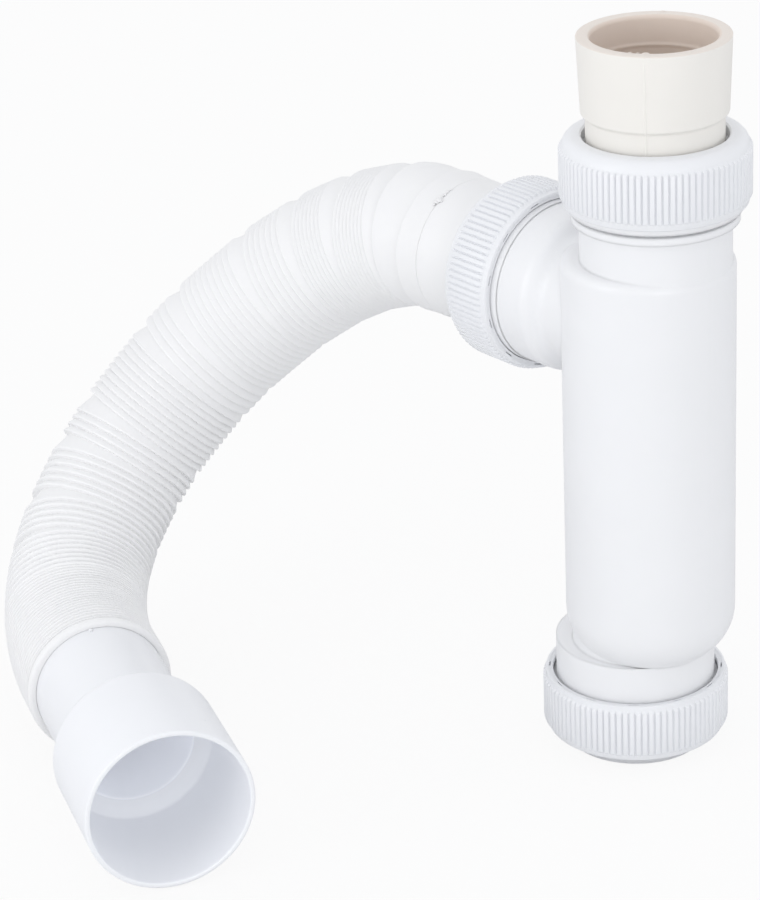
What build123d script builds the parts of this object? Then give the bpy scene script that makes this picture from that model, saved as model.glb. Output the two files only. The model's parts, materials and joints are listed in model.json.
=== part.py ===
"""Waste trap with a concertina outlet hose.

Frame: the origin is the centre of the cleaning cap's flat base, +Z runs up the
barrel to the inlet and the outlet branch points along -X. Millimetres.
"""
import math
import os

from build123d import *

# Fits shared by the pieces
thread_gap = 0.5
slide_gap = 0.3
face_gap = 0.1
wall = 2.4

# Threaded necks, three of one size
thread_r = 24.8
neck_bore = 20.3

# Ribbed nuts, three with one thread; the inlet's has the thinner wall
nut_wall = 2.7
nut_bore_r = thread_r + thread_gap
nut_rib_depth = 0.8
nut_ribs = 90
nut_rib_len = 15.2
nut_lip = 1.6
nut_lip_in = 0.7
nut_shoulder = 3.2
nut_face_in = 3.0
nut_face_round = 0.9
nut_hole_gap = 1.2
nut_height = nut_lip + nut_rib_len + nut_shoulder

# Stack of washers under a nut
slip_ring_t = 1.6
slip_ring_r = nut_bore_r - slide_gap
slip_ring_gap = 0.5

# Barrel of the trap body
barrel_x = 6.8
barrel_r = 25.2
barrel_z0 = 31.0
barrel_z1 = 158.0
barrel_round = 16.0
shoulder_round = 3.0

# Bottom neck and cleaning cap, both on the Z axis
cap_floor = 4.4
cap_base_r = 20.5
cap_rib_z0 = 6.2
washer_t = 3.0
washer_r = nut_bore_r - slide_gap
washer_bore = 20.0
cap_neck_z0 = cap_floor + washer_t + 2 * face_gap
cap_neck_z1 = 34.0
cap_thread_z1 = 21.0
cap_neck_r = 23.9
cap_bore_r = 21.4
throat_x = 2.6
throat_r = 18.2

# Inlet neck, its nut, the dip tube and the cuff
inlet_x = 10.0
inlet_nut_wall = 2.0
inlet_nut_z0 = 175.4
inlet_neck_r = 21.8
inlet_bore = 19.4
inlet_bead_r = 24.0
inlet_bead_z = 170.0
inlet_bead_t = 2.4
inlet_nut_under = inlet_nut_z0 + nut_height - nut_shoulder
inlet_ring_z0 = inlet_nut_under - slip_ring_t - face_gap
cuff_flange_t = 4.0
cuff_z0 = inlet_ring_z0 - cuff_flange_t - face_gap
dip_flange_t = 2.2
dip_flange_z0 = cuff_z0 - dip_flange_t - face_gap
inlet_rim_z = dip_flange_z0 - face_gap
inlet_thread_z0 = 173.4
dip_r = 16.0
dip_bore = 14.2
dip_z0 = 46.0
dip_flange_in = 0.6
dip_flange_r = thread_r - dip_flange_in
cuff_ring_r = 19.6
cuff_step_z = 201.6
cuff_foot_r = 20.9
cuff_top_r = 21.8
cuff_z1 = 224.2
cuff_bore = 17.8
cuff_seat_bore = 16.6
cuff_seat_z = 199.0
cuff_lead = 1.2
cuff_step_lead = 0.6
cuff_rim_edge = 0.5

# Outlet branch along -X
outlet_z = 138.9
outlet_nut_x = -33.6
outlet_tube_r = 21.0
outlet_tube_bore = 18.3
outlet_fold_x0 = -16.5
outlet_fold_x1 = -20.5
outlet_bell_r = 24.4
outlet_fold_round = 5.0
outlet_thread_x = -31.5
outlet_nut_under = outlet_nut_x - nut_height + nut_shoulder
outlet_ring_x0 = outlet_nut_under + slip_ring_t + face_gap
seal_t = 5.0
seal_r = 24.6
seal_nose = 1.2
seal_gap = 0.15
outlet_rim_x = outlet_ring_x0 + seal_t + 2 * face_gap
outlet_stop_x = -28.0

# Hose spigot
spigot_r = 20.0
spigot_bore = 18.0
spigot_x0 = outlet_stop_x - slide_gap
spigot_flare_x = -58.0
spigot_flare_r = 21.9
spigot_end_x = -71.0

# Concertina hose: two plain collars and pleats along a falling half turn
crest_r = 22.4
root_r = 20.4
hose_bore = 19.6
collar_bore = spigot_r + slide_gap
collar_r = 22.3
collar_len = 12.0
plug_depth = 7.0
hose_x0 = spigot_end_x - face_gap
hose_low_z = 25.0
groups = 12
pleats_in_group = 4
fold_gap = 0.5
hose_pull = 67.0
lower_pull = 111.0
mouth_angle = -20.6
mouth_x = -24.8
mouth_y = -156.6
mouth_point = Vector(mouth_x, mouth_y, hose_low_z)

# End connector: a 40 mm tube stepping up to a 50 mm mouth
tube_r = 20.0
mouth_r = 25.0
connector_wall = 1.6
mouth_len = 42.0
tube_len = 37.0
step_len = 3.5
step_edge = 0.6

os.makedirs("parts", exist_ok=True)


def ribbed_nut(place, bore_depth, rim_wall):
    """One nut: open rim at the plane, axis along its normal, ribs all round."""
    nut_r = nut_bore_r + rim_wall
    nut_face_r = nut_r - nut_face_in
    rib_points = []
    for tooth in range(nut_ribs):
        crest_turn = 2 * math.pi * tooth / nut_ribs
        valley_turn = crest_turn + math.pi / nut_ribs
        valley_r = nut_r - nut_rib_depth
        rib_points.append((nut_r * math.cos(crest_turn), nut_r * math.sin(crest_turn)))
        rib_points.append((valley_r * math.cos(valley_turn), valley_r * math.sin(valley_turn)))
    with BuildPart() as nut:
        with BuildSketch(place):
            Circle(nut_r - nut_lip_in)
        extrude(amount=nut_lip)
        with BuildSketch(place.offset(nut_lip)):
            with BuildLine():
                Polyline(*rib_points, close=True)
            make_face()
        extrude(amount=nut_rib_len)
        with BuildSketch(place.offset(nut_lip + nut_rib_len)):
            Circle(nut_r - nut_rib_depth)
        with BuildSketch(place.offset(nut_height - nut_face_round)):
            Circle(nut_face_r + nut_face_round)
        loft(ruled=True)
        with BuildSketch(place.offset(nut_height - nut_face_round)):
            Circle(nut_face_r + nut_face_round)
        with BuildSketch(place.offset(nut_height)):
            Circle(nut_face_r)
        loft(ruled=True)
        with BuildSketch(place):
            Circle(nut_bore_r)
        extrude(amount=bore_depth, mode=Mode.SUBTRACT)
    return nut.part


# Trap body: barrel, three necks and the branch in one moulding
barrel_plane = Plane(origin=(barrel_x, 0, 0), x_dir=(1, 0, 0), z_dir=(0, -1, 0))
barrel_axis = Axis((barrel_x, 0, 0), (0, 0, 1))
outlet_axis = Axis((0, 0, outlet_z), (1, 0, 0))

with BuildPart() as trap_body:
    with BuildSketch(barrel_plane) as barrel_profile:
        with Locations((barrel_r / 2, (barrel_z0 + barrel_z1) / 2)):
            Rectangle(barrel_r, barrel_z1 - barrel_z0)
        low_corner = barrel_profile.vertices().group_by(Axis.Y)[0].sort_by(Axis.X)[-1]
        fillet(low_corner, barrel_round)
        top_corner = barrel_profile.vertices().group_by(Axis.Y)[-1].sort_by(Axis.X)[-1]
        fillet(top_corner, shoulder_round)
    revolve(axis=barrel_axis)
    with BuildSketch(Plane.XY.offset(barrel_z1 - 2 * wall)):
        with Locations((inlet_x, 0)):
            Circle(inlet_neck_r)
    extrude(amount=inlet_rim_z - barrel_z1 + 2 * wall)
    with BuildSketch(Plane.XY.offset(inlet_bead_z)):
        with Locations((inlet_x, 0)):
            Circle(inlet_bead_r)
    extrude(amount=inlet_bead_t)
    with BuildSketch(Plane.XY.offset(inlet_thread_z0)):
        with Locations((inlet_x, 0)):
            Circle(thread_r)
    extrude(amount=inlet_rim_z - inlet_thread_z0)
    with BuildSketch(Plane.XY.offset(cap_neck_z0)):
        Circle(thread_r)
    extrude(amount=cap_thread_z1 - cap_neck_z0)
    with BuildSketch(Plane.XY.offset(cap_thread_z1)):
        Circle(cap_neck_r)
    extrude(amount=cap_neck_z1 - cap_thread_z1)
    with BuildSketch(Plane.XY.offset(cap_neck_z1 - wall)):
        with Locations((throat_x, 0)):
            Circle(throat_r + wall)
    extrude(amount=barrel_round + wall)
    with BuildSketch(Plane.XZ) as branch_profile:
        with BuildLine():
            Polyline(
                (barrel_x, outlet_z),
                (barrel_x, outlet_z + outlet_tube_r),
                (outlet_fold_x0, outlet_z + outlet_tube_r),
                (outlet_fold_x1, outlet_z + outlet_bell_r),
                (outlet_thread_x, outlet_z + outlet_bell_r),
                (outlet_thread_x, outlet_z + thread_r),
                (outlet_rim_x, outlet_z + thread_r),
                (outlet_rim_x, outlet_z),
                close=True,
            )
        make_face()
        fold_corners = branch_profile.vertices().filter_by_position(
            Axis.X, outlet_fold_x1 - face_gap, outlet_fold_x0 + face_gap)
        fillet(fold_corners, outlet_fold_round)
    revolve(axis=outlet_axis)

    with BuildSketch(barrel_plane) as cavity_profile:
        with Locations(((barrel_r - wall) / 2, (barrel_z0 + barrel_z1) / 2)):
            Rectangle(barrel_r - wall, barrel_z1 - barrel_z0 - 2 * wall)
        cavity_corner = cavity_profile.vertices().group_by(Axis.Y)[0].sort_by(Axis.X)[-1]
        fillet(cavity_corner, barrel_round - wall)
    revolve(axis=barrel_axis, mode=Mode.SUBTRACT)
    with BuildSketch(Plane.XY.offset(barrel_z1 - 2 * wall)):
        with Locations((inlet_x, 0)):
            Circle(inlet_bore)
    extrude(amount=inlet_rim_z - barrel_z1 + 2 * wall, mode=Mode.SUBTRACT)
    with BuildSketch(Plane.XY.offset(cap_neck_z0)):
        Circle(cap_bore_r)
    extrude(amount=cap_neck_z1 - wall - cap_neck_z0, mode=Mode.SUBTRACT)
    with BuildSketch(Plane.XY.offset(cap_neck_z1 - wall)):
        with Locations((throat_x, 0)):
            Circle(throat_r)
    extrude(amount=barrel_round, mode=Mode.SUBTRACT)
    with BuildSketch(Plane.XZ):
        with BuildLine():
            Polyline(
                (barrel_x, outlet_z),
                (barrel_x, outlet_z + outlet_tube_bore),
                (outlet_stop_x, outlet_z + outlet_tube_bore),
                (outlet_stop_x, outlet_z + neck_bore),
                (outlet_rim_x, outlet_z + neck_bore),
                (outlet_rim_x, outlet_z),
                close=True,
            )
        make_face()
    revolve(axis=outlet_axis, mode=Mode.SUBTRACT)
trap_body.part.label = "trap_body"

# Dip tube: hangs by its flange on the inlet rim and reaches down to the seal water
with BuildPart() as dip_tube:
    with BuildSketch(Plane.XY.offset(dip_z0)):
        with Locations((inlet_x, 0)):
            Circle(dip_r)
    extrude(amount=dip_flange_z0 + dip_flange_t - dip_z0)
    with BuildSketch(Plane.XY.offset(dip_flange_z0)):
        with Locations((inlet_x, 0)):
            Circle(dip_flange_r)
    extrude(amount=dip_flange_t)
    with BuildSketch(Plane.XY.offset(dip_z0)):
        with Locations((inlet_x, 0)):
            Circle(dip_bore)
    extrude(amount=dip_flange_z0 + dip_flange_t - dip_z0, mode=Mode.SUBTRACT)
dip_tube.part.label = "dip_tube"

# Rubber inlet cuff: clamped flange, narrow ring and a cup that widens upward
cuff_plane = Plane(origin=(inlet_x, 0, 0), x_dir=(1, 0, 0), z_dir=(0, -1, 0))
with BuildPart() as inlet_cuff:
    with BuildSketch(cuff_plane):
        with BuildLine():
            Polyline(
                (cuff_seat_bore, cuff_z0),
                (slip_ring_r, cuff_z0),
                (slip_ring_r, cuff_z0 + cuff_flange_t),
                (cuff_ring_r, cuff_z0 + cuff_flange_t),
                (cuff_ring_r, cuff_step_z - cuff_step_lead),
                (cuff_foot_r, cuff_step_z),
                (cuff_top_r, cuff_z1 - cuff_rim_edge),
                (cuff_top_r - cuff_rim_edge, cuff_z1),
                (cuff_bore + cuff_lead, cuff_z1),
                (cuff_bore, cuff_z1 - cuff_lead),
                (cuff_bore, cuff_seat_z),
                (cuff_seat_bore, cuff_seat_z),
                close=True,
            )
        make_face()
    revolve(axis=Axis((inlet_x, 0, 0), (0, 0, 1)))
inlet_cuff.part.label = "inlet_cuff"

# Slip ring between the cuff's flange and the inlet nut
with BuildPart() as inlet_slip_ring:
    with BuildSketch(Plane.XY.offset(inlet_ring_z0)):
        with Locations((inlet_x, 0)):
            Circle(slip_ring_r)
            Circle(cuff_ring_r + slide_gap, mode=Mode.SUBTRACT)
    extrude(amount=slip_ring_t)
inlet_slip_ring.part.label = "inlet_slip_ring"

# Inlet nut, closed face up with a hole for the cuff
inlet_nut_plane = Plane(origin=(inlet_x, 0, inlet_nut_z0), x_dir=(1, 0, 0), z_dir=(0, 0, 1))
with BuildPart() as inlet_nut:
    add(ribbed_nut(inlet_nut_plane, nut_height - nut_shoulder, inlet_nut_wall))
    with BuildSketch(inlet_nut_plane):
        Circle(cuff_ring_r + nut_hole_gap)
    extrude(amount=nut_height, mode=Mode.SUBTRACT)
inlet_nut.part.label = "inlet_nut"

# Outlet nut, open rim towards the barrel
outlet_nut_plane = Plane(origin=(outlet_nut_x, 0, outlet_z), x_dir=(0, 1, 0), z_dir=(-1, 0, 0))
with BuildPart() as outlet_nut:
    add(ribbed_nut(outlet_nut_plane, nut_height - nut_shoulder, nut_wall))
    with BuildSketch(outlet_nut_plane):
        Circle(spigot_r + nut_hole_gap)
    extrude(amount=nut_height, mode=Mode.SUBTRACT)
outlet_nut.part.label = "outlet_nut"

# Cleaning cap: the same ribbed rim over a closed, stepped base
cap_plane = Plane(
    origin=(0, 0, cap_rib_z0 + nut_rib_len + nut_lip),
    x_dir=(1, 0, 0),
    z_dir=(0, 0, -1),
)
with BuildPart() as cleaning_cap:
    add(ribbed_nut(cap_plane, cap_rib_z0 + nut_rib_len + nut_lip - cap_floor, nut_wall))
    with BuildSketch(Plane.XY):
        Circle(cap_base_r)
    with BuildSketch(Plane.XY.offset(cap_floor)):
        Circle(nut_bore_r + nut_wall - nut_face_in)
    loft(ruled=True)
cleaning_cap.part.label = "cleaning_cap"

# Flat seal in the cap
with BuildPart() as cap_washer:
    with BuildSketch(Plane.XY.offset(cap_floor + face_gap)):
        Circle(washer_r)
        Circle(washer_bore, mode=Mode.SUBTRACT)
    extrude(amount=washer_t)
cap_washer.part.label = "cap_washer"

# Slip ring under the outlet nut
with BuildPart() as outlet_slip_ring:
    with BuildSketch(Plane(origin=(outlet_ring_x0, 0, outlet_z), z_dir=(-1, 0, 0))):
        Circle(slip_ring_r)
        Circle(spigot_r + slip_ring_gap, mode=Mode.SUBTRACT)
    extrude(amount=slip_ring_t)
outlet_slip_ring.part.label = "outlet_slip_ring"

# Tapered seal between the spigot and the outlet rim
with BuildPart() as outlet_seal:
    with BuildSketch(Plane.XZ):
        with BuildLine():
            Polyline(
                (outlet_rim_x - face_gap, outlet_z + spigot_r + seal_gap),
                (outlet_rim_x - face_gap, outlet_z + seal_r - seal_nose),
                (outlet_rim_x - face_gap - seal_nose, outlet_z + seal_r),
                (outlet_rim_x - face_gap - seal_t, outlet_z + seal_r),
                (outlet_rim_x - face_gap - seal_t, outlet_z + spigot_r + seal_gap),
                close=True,
            )
        make_face()
    revolve(axis=outlet_axis)
outlet_seal.part.label = "outlet_seal"

# Smooth spigot that carries the hose into the outlet
with BuildPart() as hose_spigot:
    with BuildSketch(Plane.XZ):
        with BuildLine():
            Polyline(
                (spigot_x0, outlet_z + spigot_bore),
                (spigot_x0, outlet_z + spigot_r),
                (spigot_flare_x, outlet_z + spigot_r),
                (spigot_end_x, outlet_z + spigot_flare_r),
                (spigot_end_x, outlet_z + spigot_r),
                (spigot_end_x - plug_depth, outlet_z + spigot_r),
                (spigot_end_x - plug_depth, outlet_z + spigot_bore),
                close=True,
            )
        make_face()
    revolve(axis=outlet_axis)
hose_spigot.part.label = "hose_spigot"

# Hose centreline: level at the spigot, level again where it lies on the ground
mouth_dir = Vector(math.cos(math.radians(mouth_angle)), math.sin(math.radians(mouth_angle)), 0)
hose_end = mouth_point - mouth_dir * (mouth_len + tube_len)
pleat_start = Vector(hose_x0 - collar_len, 0, outlet_z)
pleat_end = hose_end - mouth_dir * collar_len
with BuildLine() as hose_line:
    Bezier(
        pleat_start,
        pleat_start - Vector(hose_pull, 0, 0),
        pleat_end - mouth_dir * lower_pull,
        pleat_end,
    )
hose_path = hose_line.edges()[0]


# The pleats stand in straight groups, and a pleat opens like a wedge where two groups meet
corners = [hose_path @ (step / groups) for step in range(groups + 1)]
runs = [Vector(-1, 0, 0)]
for step in range(groups):
    runs.append((corners[step + 1] - corners[step]).normalized())
runs.append(mouth_dir)
half_gaps = []
for step in range(groups + 1):
    half_turn = math.radians(runs[step].get_angle(runs[step + 1])) / 2
    half_gaps.append(crest_r * math.tan(half_turn) + fold_gap)


def square_to(point, run):
    """Plane at the point, square to the run of the hose."""
    return Plane(origin=point, x_dir=(0, 0, 1), z_dir=run)


first_collar = square_to(Vector(hose_x0, 0, outlet_z), runs[0])
last_collar = square_to(hose_end, mouth_dir)

with BuildPart() as concertina_hose:
    with BuildSketch(first_collar):
        Circle(collar_r)
    extrude(amount=collar_len - half_gaps[0])
    with BuildSketch(last_collar):
        Circle(collar_r)
    extrude(amount=half_gaps[-1] - collar_len)
    for group in range(groups):
        run = runs[group + 1]
        foot = corners[group] + run * half_gaps[group]
        head = corners[group + 1] - run * half_gaps[group + 1]
        pitch = (head - foot).length / pleats_in_group
        stack_points = [(0, 0), (0, root_r)]
        for pleat in range(pleats_in_group):
            stack_points.append(((pleat + 0.5) * pitch, crest_r))
            stack_points.append(((pleat + 1) * pitch, root_r))
        stack_points.append((pleats_in_group * pitch, 0))
        with BuildSketch(Plane(origin=foot, x_dir=run, z_dir=run.cross(Vector(0, 0, 1)))):
            with BuildLine():
                Polyline(*stack_points, close=True)
            make_face()
        revolve(axis=Axis(foot, run))
    for step in range(groups + 1):
        before = runs[step]
        after = runs[step + 1]
        with BuildSketch(square_to(corners[step] - before * half_gaps[step], before)):
            Circle(root_r)
        with BuildSketch(square_to(corners[step], (before + after).normalized())):
            Circle(crest_r)
        with BuildSketch(square_to(corners[step] + after * half_gaps[step], after)):
            Circle(root_r)
        loft(ruled=True)
    for group in range(groups):
        run = runs[group + 1]
        foot = corners[group] + run * half_gaps[group]
        head = corners[group + 1] - run * half_gaps[group + 1]
        with BuildSketch(square_to(foot, run)):
            Circle(hose_bore)
        extrude(amount=(head - foot).length, mode=Mode.SUBTRACT)
    for step in range(groups + 1):
        before = runs[step]
        after = runs[step + 1]
        with BuildSketch(square_to(corners[step] - before * half_gaps[step], before)):
            Circle(hose_bore)
        with BuildSketch(square_to(corners[step] + after * half_gaps[step], after)):
            Circle(hose_bore)
        loft(ruled=True, mode=Mode.SUBTRACT)
    with BuildSketch(first_collar):
        Circle(collar_bore)
    extrude(amount=collar_len - half_gaps[0], mode=Mode.SUBTRACT)
    with BuildSketch(last_collar):
        Circle(collar_bore)
    extrude(amount=half_gaps[-1] - collar_len, mode=Mode.SUBTRACT)
concertina_hose.part.label = "concertina_hose"

# End connector, turned about the hose's last straight line
connector_profile = Plane(origin=mouth_point, x_dir=mouth_dir, z_dir=mouth_dir.cross(Vector(0, 0, 1)))
tail_len = mouth_len + tube_len + plug_depth
with BuildPart() as end_connector:
    with BuildSketch(connector_profile):
        with BuildLine():
            Polyline(
                (0, mouth_r - connector_wall),
                (0, mouth_r),
                (-mouth_len + step_len, mouth_r),
                (-mouth_len, tube_r + step_edge),
                (-mouth_len, tube_r),
                (-tail_len, tube_r),
                (-tail_len, tube_r - connector_wall),
                (-mouth_len, tube_r - connector_wall),
                (-mouth_len + step_len, mouth_r - connector_wall),
                close=True,
            )
        make_face()
    revolve(axis=Axis(mouth_point, mouth_dir))
end_connector.part.label = "end_connector"

export_step(trap_body.part, "parts/trap_body.step")
export_step(dip_tube.part, "parts/dip_tube.step")
export_step(inlet_cuff.part, "parts/inlet_cuff.step")
export_step(inlet_slip_ring.part, "parts/inlet_slip_ring.step")
export_step(inlet_nut.part, "parts/inlet_nut.step")
export_step(outlet_nut.part, "parts/outlet_nut.step")
export_step(cleaning_cap.part, "parts/cleaning_cap.step")
export_step(cap_washer.part, "parts/cap_washer.step")
export_step(outlet_slip_ring.part, "parts/outlet_slip_ring.step")
export_step(outlet_seal.part, "parts/outlet_seal.step")
export_step(hose_spigot.part, "parts/hose_spigot.step")
export_step(concertina_hose.part, "parts/concertina_hose.step")
export_step(end_connector.part, "parts/end_connector.step")
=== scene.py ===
"""Dresses the waste trap: moulded plastic, ribbed nuts, a rubber cuff and a pleated hose."""
import bisect
import json
import math

import bmesh
import bpy
from mathutils import Matrix, Vector
from mathutils.geometry import interpolate_bezier


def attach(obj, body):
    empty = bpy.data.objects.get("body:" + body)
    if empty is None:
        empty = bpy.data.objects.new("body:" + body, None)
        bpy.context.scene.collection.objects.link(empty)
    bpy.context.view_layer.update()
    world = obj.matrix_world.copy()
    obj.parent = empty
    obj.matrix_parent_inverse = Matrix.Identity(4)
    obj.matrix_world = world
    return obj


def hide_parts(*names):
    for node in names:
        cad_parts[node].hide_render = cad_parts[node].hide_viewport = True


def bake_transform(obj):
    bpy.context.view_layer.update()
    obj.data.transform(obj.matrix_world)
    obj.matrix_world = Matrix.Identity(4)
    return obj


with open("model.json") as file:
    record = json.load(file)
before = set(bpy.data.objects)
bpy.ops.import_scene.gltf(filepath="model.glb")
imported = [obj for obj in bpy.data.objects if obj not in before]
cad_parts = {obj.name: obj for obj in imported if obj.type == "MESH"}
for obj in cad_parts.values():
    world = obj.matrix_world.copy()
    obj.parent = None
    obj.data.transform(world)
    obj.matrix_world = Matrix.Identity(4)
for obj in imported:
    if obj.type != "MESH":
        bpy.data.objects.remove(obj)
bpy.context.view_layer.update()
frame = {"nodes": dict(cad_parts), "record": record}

bl_info = {
    "name": "Waste trap",
    "version": (1, 0, 0),
    "blender": (4, 5, 0),
    "location": "View3D > Sidebar > Waste trap",
    "description": "Builds the visible pieces of a sink trap with a concertina hose",
    "category": "Object",
}

MM = 0.001
SLOTS = {row["node"]: row["material_slot"] for row in frame["record"]["subparts"]}


# Sizes and colours

class TrapSizes(bpy.types.PropertyGroup):
    """Sizes of the trap that a maker would change."""

    nut_radius: bpy.props.FloatProperty(
        name="Nut radius", description="Outside of the ribs on the outlet nut and the cap",
        default=28.0 * MM, unit="LENGTH")
    inlet_nut_radius: bpy.props.FloatProperty(
        name="Inlet nut radius", description="Outside of the ribs on the inlet nut",
        default=27.3 * MM, unit="LENGTH")
    nut_ribs: bpy.props.IntProperty(
        name="Nut ribs", description="Ribs round each nut", default=90, min=12)
    rib_depth: bpy.props.FloatProperty(
        name="Rib depth", description="Height of the ribs",
        default=0.8 * MM, unit="LENGTH")
    crest_radius: bpy.props.FloatProperty(
        name="Pleat crest", description="Outside radius of the hose",
        default=22.3 * MM, unit="LENGTH")
    open_depth: bpy.props.FloatProperty(
        name="Open pleat depth", description="Groove of a pleat pulled open",
        default=2.5 * MM, unit="LENGTH")
    cuff_radius: bpy.props.FloatProperty(
        name="Cuff radius", description="Outside of the cuff's rim",
        default=21.8 * MM, unit="LENGTH")
    cuff_lean: bpy.props.FloatProperty(
        name="Cuff lean", description="How far the cuff's rim leans over the outlet side",
        default=0.2 * MM, unit="LENGTH")


class TrapColours(bpy.types.PropertyGroup):
    """Colours of the trap's plastics and rubbers, with a painted shade for the cuff's bore and a painted
    glow for the end mouth.
    """

    body: bpy.props.FloatVectorProperty(
        name="Body", description="Moulded body plastic", subtype="COLOR", size=3,
        default=(0.86, 0.865, 0.875))
    nut: bpy.props.FloatVectorProperty(
        name="Nuts", description="Ribbed nut plastic", subtype="COLOR", size=3,
        default=(0.84, 0.85, 0.87))
    hose: bpy.props.FloatVectorProperty(
        name="Hose", description="Pleated hose plastic", subtype="COLOR", size=3,
        default=(0.88, 0.88, 0.88))
    connector: bpy.props.FloatVectorProperty(
        name="Connector", description="End connector plastic", subtype="COLOR", size=3,
        default=(0.88, 0.89, 0.91))
    cuff: bpy.props.FloatVectorProperty(
        name="Cuff", description="Cream rubber", subtype="COLOR", size=3,
        default=(0.85, 0.83, 0.785))
    # Painted glow: an emission colour inside the end mouth and its tube, standing in for light let
    # through the thin wall
    through: bpy.props.FloatVectorProperty(
        name="Through light", description="Light that comes through the end mouth's wall",
        subtype="COLOR", size=3, default=(0.165, 0.171, 0.19))
    # Painted shade: a darker, warmer cream mixed into the cuff's bore and, in part, onto its rim
    cuff_bore_shade: bpy.props.FloatVectorProperty(
        name="Cuff bore", description="Cream rubber inside the cuff", subtype="COLOR", size=3,
        default=(0.80, 0.70, 0.62))
    seal: bpy.props.FloatVectorProperty(
        name="Seals", description="Black rubber", subtype="COLOR", size=3,
        default=(0.03, 0.03, 0.032))


# Shader tools

class Val:
    """A node socket that takes part in Python arithmetic."""

    def __init__(self, tree, socket):
        self.tree = tree
        self.socket = socket

    def out(self, name):
        """Another output of the same node."""
        return Val(self.tree, self.socket.node.outputs[name])

    def __add__(self, other):
        return self.tree.maths("ADD", self, other)

    __radd__ = __add__

    def __sub__(self, other):
        return self.tree.maths("SUBTRACT", self, other)

    def __rsub__(self, other):
        return self.tree.maths("SUBTRACT", other, self)

    def __mul__(self, other):
        return self.tree.maths("MULTIPLY", self, other)

    __rmul__ = __mul__

    def __truediv__(self, other):
        return self.tree.maths("DIVIDE", self, other)


class Tree:
    """A node tree, built node by node."""

    def __init__(self, tree):
        self.tree = tree

    def node(self, kind, settings=None, inputs=None, output=0):
        """Adds a node, its settings first, then its socket values or links."""
        made = self.tree.nodes.new(kind)
        for key, value in (settings or {}).items():
            setattr(made, key, value)
        for key, value in (inputs or {}).items():
            if isinstance(value, Val):
                self.tree.links.new(value.socket, made.inputs[key])
            else:
                made.inputs[key].default_value = value
        return Val(self, made.outputs[output]) if made.outputs else None

    def maths(self, operation, *values):
        """Arithmetic on numbers."""
        return self.node("ShaderNodeMath", {"operation": operation}, dict(enumerate(values)))

    def ease(self, value, low, high):
        """0 below low, 1 above high and a soft step between."""
        return self.node("ShaderNodeMapRange", {"interpolation_type": "SMOOTHSTEP"},
                         {"Value": value, "From Min": low, "From Max": high})

    def vector(self, operation, a, b=(0.0, 0.0, 0.0), output="Vector"):
        """Vector arithmetic; scaling takes a number for b."""
        return self.node("ShaderNodeVectorMath", {"operation": operation},
                         {0: a, 3 if operation == "SCALE" else 1: b}, output)

    def about_z(self, place):
        """A place taken apart, its flat part and its distance from the Z axis."""
        spot = self.node("ShaderNodeSeparateXYZ", None, {0: place})
        flat = self.node("ShaderNodeCombineXYZ", None, {"X": spot, "Y": spot.out("Y")})
        return spot, flat, self.vector("LENGTH", flat, output="Value")


class Shader(Tree):
    """One material's node tree."""

    def __init__(self, name):
        self.material = bpy.data.materials.new(name)
        self.material.use_nodes = True
        super().__init__(self.material.node_tree)
        self.tree.nodes.clear()

    def noise(self, place, scale, **more):
        """Clouding of a given fineness."""
        return self.node("ShaderNodeTexNoise", None, {"Vector": place, "Scale": scale, **more})

    def mix(self, factor, a, b):
        """A colour between two others."""
        return self.node("ShaderNodeMix", {"data_type": "RGBA"}, {0: factor, 6: a, 7: b}, 2)

    def finish(self, surface):
        """Joins the surface to the material's output."""
        self.node("ShaderNodeOutputMaterial", None, {"Surface": surface})
        return self.material


class Shape(Tree):
    """A geometry node tree with named sizes, run once to give a plain mesh."""

    def __init__(self, name, **sizes):
        super().__init__(bpy.data.node_groups.new(name, "GeometryNodeTree"))
        face = self.tree.interface
        face.new_socket("Geometry", in_out="OUTPUT", socket_type="NodeSocketGeometry")
        face.new_socket("Geometry", in_out="INPUT", socket_type="NodeSocketGeometry")
        for key, value in sizes.items():
            kind = "NodeSocketInt" if isinstance(value, int) else "NodeSocketFloat"
            face.new_socket(key, in_out="INPUT", socket_type=kind)
        self.sizes = sizes
        self.entry = self.tree.nodes.new("NodeGroupInput")

    def size(self, name):
        """One of the tree's named inputs."""
        return Val(self, self.entry.outputs[name])

    def run(self, mesh, geometry, slot):
        """The mesh that the tree makes of the start mesh."""
        real = self.node("GeometryNodeRealizeInstances", None, {0: geometry})
        done = self.node("GeometryNodeSetMaterial", None, {"Geometry": real, "Material": material(slot)})
        self.node("NodeGroupOutput", None, {0: done})
        holder = bpy.data.objects.new(mesh.name + "_start", mesh)
        bpy.context.scene.collection.objects.link(holder)
        step = holder.modifiers.new("shape", "NODES")
        step.node_group = self.tree
        for item in self.tree.interface.items_tree:
            if item.in_out == "INPUT" and item.name in self.sizes:
                step[item.identifier] = self.sizes[item.name]
        graph = bpy.context.evaluated_depsgraph_get()
        made = bpy.data.meshes.new_from_object(holder.evaluated_get(graph))
        holder.modifiers.remove(step)
        bpy.data.objects.remove(holder)
        return made


def shade(colour, factor):
    """The colour, lighter or darker, with its alpha."""
    return tuple(min(1.0, c * factor) for c in colour) + (1.0,)


# Reach of the painted shade in the cuff's bore, and depth and share of it on the cuff's rim
BORE_SHADE_REACH = (18.2 * MM, 19.2 * MM)
RIM_SHADE_DEPTH = (0.5 * MM, 0.1 * MM)
RIM_SHADE = 0.55
# Strength and reach of the painted glow inside the end mouth and its tube
MOUTH_GLOW = 0.3
MOUTH_GLOW_REACH = (23.5 * MM, 24.0 * MM)
STEP_GLOW = (-1.0 * MM, 3.0 * MM)
TUBE_GLOW = 0.85
TUBE_GLOW_REACH = (18.5 * MM, 18.9 * MM)
BLACK = (0.0, 0.0, 0.0, 1.0)
WHITE = (1.0, 1.0, 1.0, 1.0)
PLASTIC_IOR = 1.49
SOFT_RADIUS = (0.004, 0.004, 0.0042)
SOFT_SCALE = 0.6


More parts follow.
